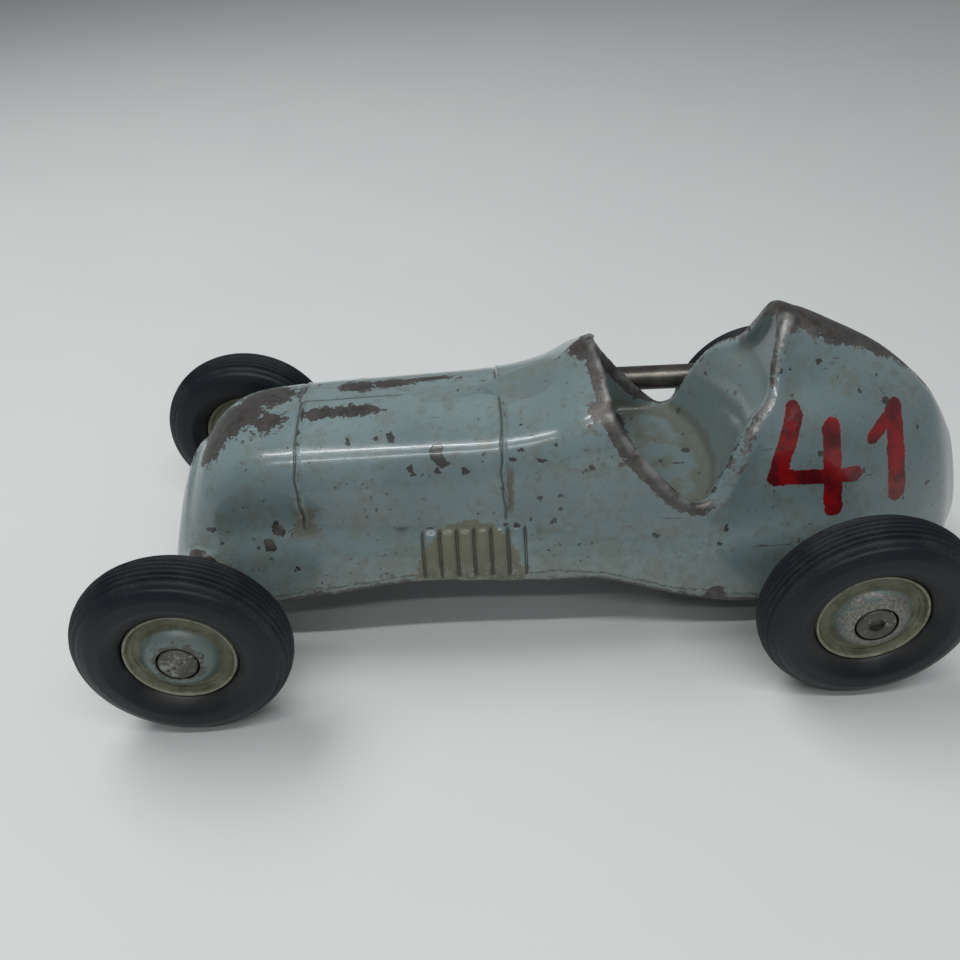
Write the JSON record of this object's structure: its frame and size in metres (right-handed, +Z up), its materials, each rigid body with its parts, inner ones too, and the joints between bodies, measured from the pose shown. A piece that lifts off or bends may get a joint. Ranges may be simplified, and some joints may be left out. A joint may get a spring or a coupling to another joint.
{
  "type": "toy racing car",
  "caption": "Hollow cast-metal toy racing car with an open cockpit, a tapered tail, rolling rubber-tyred wheels and a side exhaust pipe.",
  "frame": {"origin": "on the floor under the middle of the overall length and width", "axes": "+X towards the nose, +Y to the driver's left, +Z up"},
  "size_m": [0.2534, 0.1204, 0.09],
  "materials": {
    "body_enamel": "glossy blue-grey enamel over cast aluminium, chipped and worn to bare metal on the crests",
    "tyre_rubber": "smooth black rubber with ribbed tread",
    "hub_metal": "cast and painted, stained olive in the dished ring",
    "screw_steel": "dull worn steel",
    "bush_bronze": "plain turned bronze",
    "axle_steel": "plain ground steel",
    "pipe_steel": "dark oxidised steel tube",
    "clip_steel": "plain sheet steel"
  },
  "bodies": {
    "chassis": {"body_shell": "body_enamel", "exhaust_pipe": "pipe_steel", "front_axle": "axle_steel", "front_left_axle_screw": "screw_steel", "front_left_bush": "bush_bronze", "front_left_spacer": "axle_steel", "front_pipe_clip": "clip_steel", "front_pipe_clip_screw": "clip_steel", "front_right_axle_screw": "screw_steel", "front_right_bush": "bush_bronze", "front_right_spacer": "axle_steel", "rear_left_bush": "bush_bronze", "rear_left_spacer": "axle_steel", "rear_pipe_clip": "clip_steel", "rear_pipe_clip_screw": "clip_steel", "rear_right_bush": "bush_bronze", "rear_right_spacer": "axle_steel"},
    "front_left_wheel": {"front_left_hub_inner": "hub_metal", "front_left_hub_outer": "hub_metal", "front_left_tyre": "tyre_rubber"},
    "front_right_wheel": {"front_right_hub_inner": "hub_metal", "front_right_hub_outer": "hub_metal", "front_right_tyre": "tyre_rubber"},
    "rear_wheels": {"rear_axle": "axle_steel", "rear_left_axle_screw": "screw_steel", "rear_left_hub_inner": "hub_metal", "rear_left_hub_outer": "hub_metal", "rear_left_tyre": "tyre_rubber", "rear_right_axle_screw": "screw_steel", "rear_right_hub_inner": "hub_metal", "rear_right_hub_outer": "hub_metal", "rear_right_tyre": "tyre_rubber"}
  },
  "joints": [
    {"name": "front_left_spin", "type": "hinge", "parent": "chassis", "child": "front_left_wheel", "pos_m": [0.09828, 0.0525, 0.02834], "axis": [0, 1, 0], "continuous": true},
    {"name": "front_right_spin", "type": "hinge", "parent": "chassis", "child": "front_right_wheel", "pos_m": [0.09828, -0.0525, 0.02834], "axis": [0, 1, 0], "continuous": true},
    {"name": "rear_axle_spin", "type": "hinge", "parent": "chassis", "child": "rear_wheels", "pos_m": [-0.07972, 0, 0.02834], "axis": [0, 1, 0], "continuous": true}
  ]
}
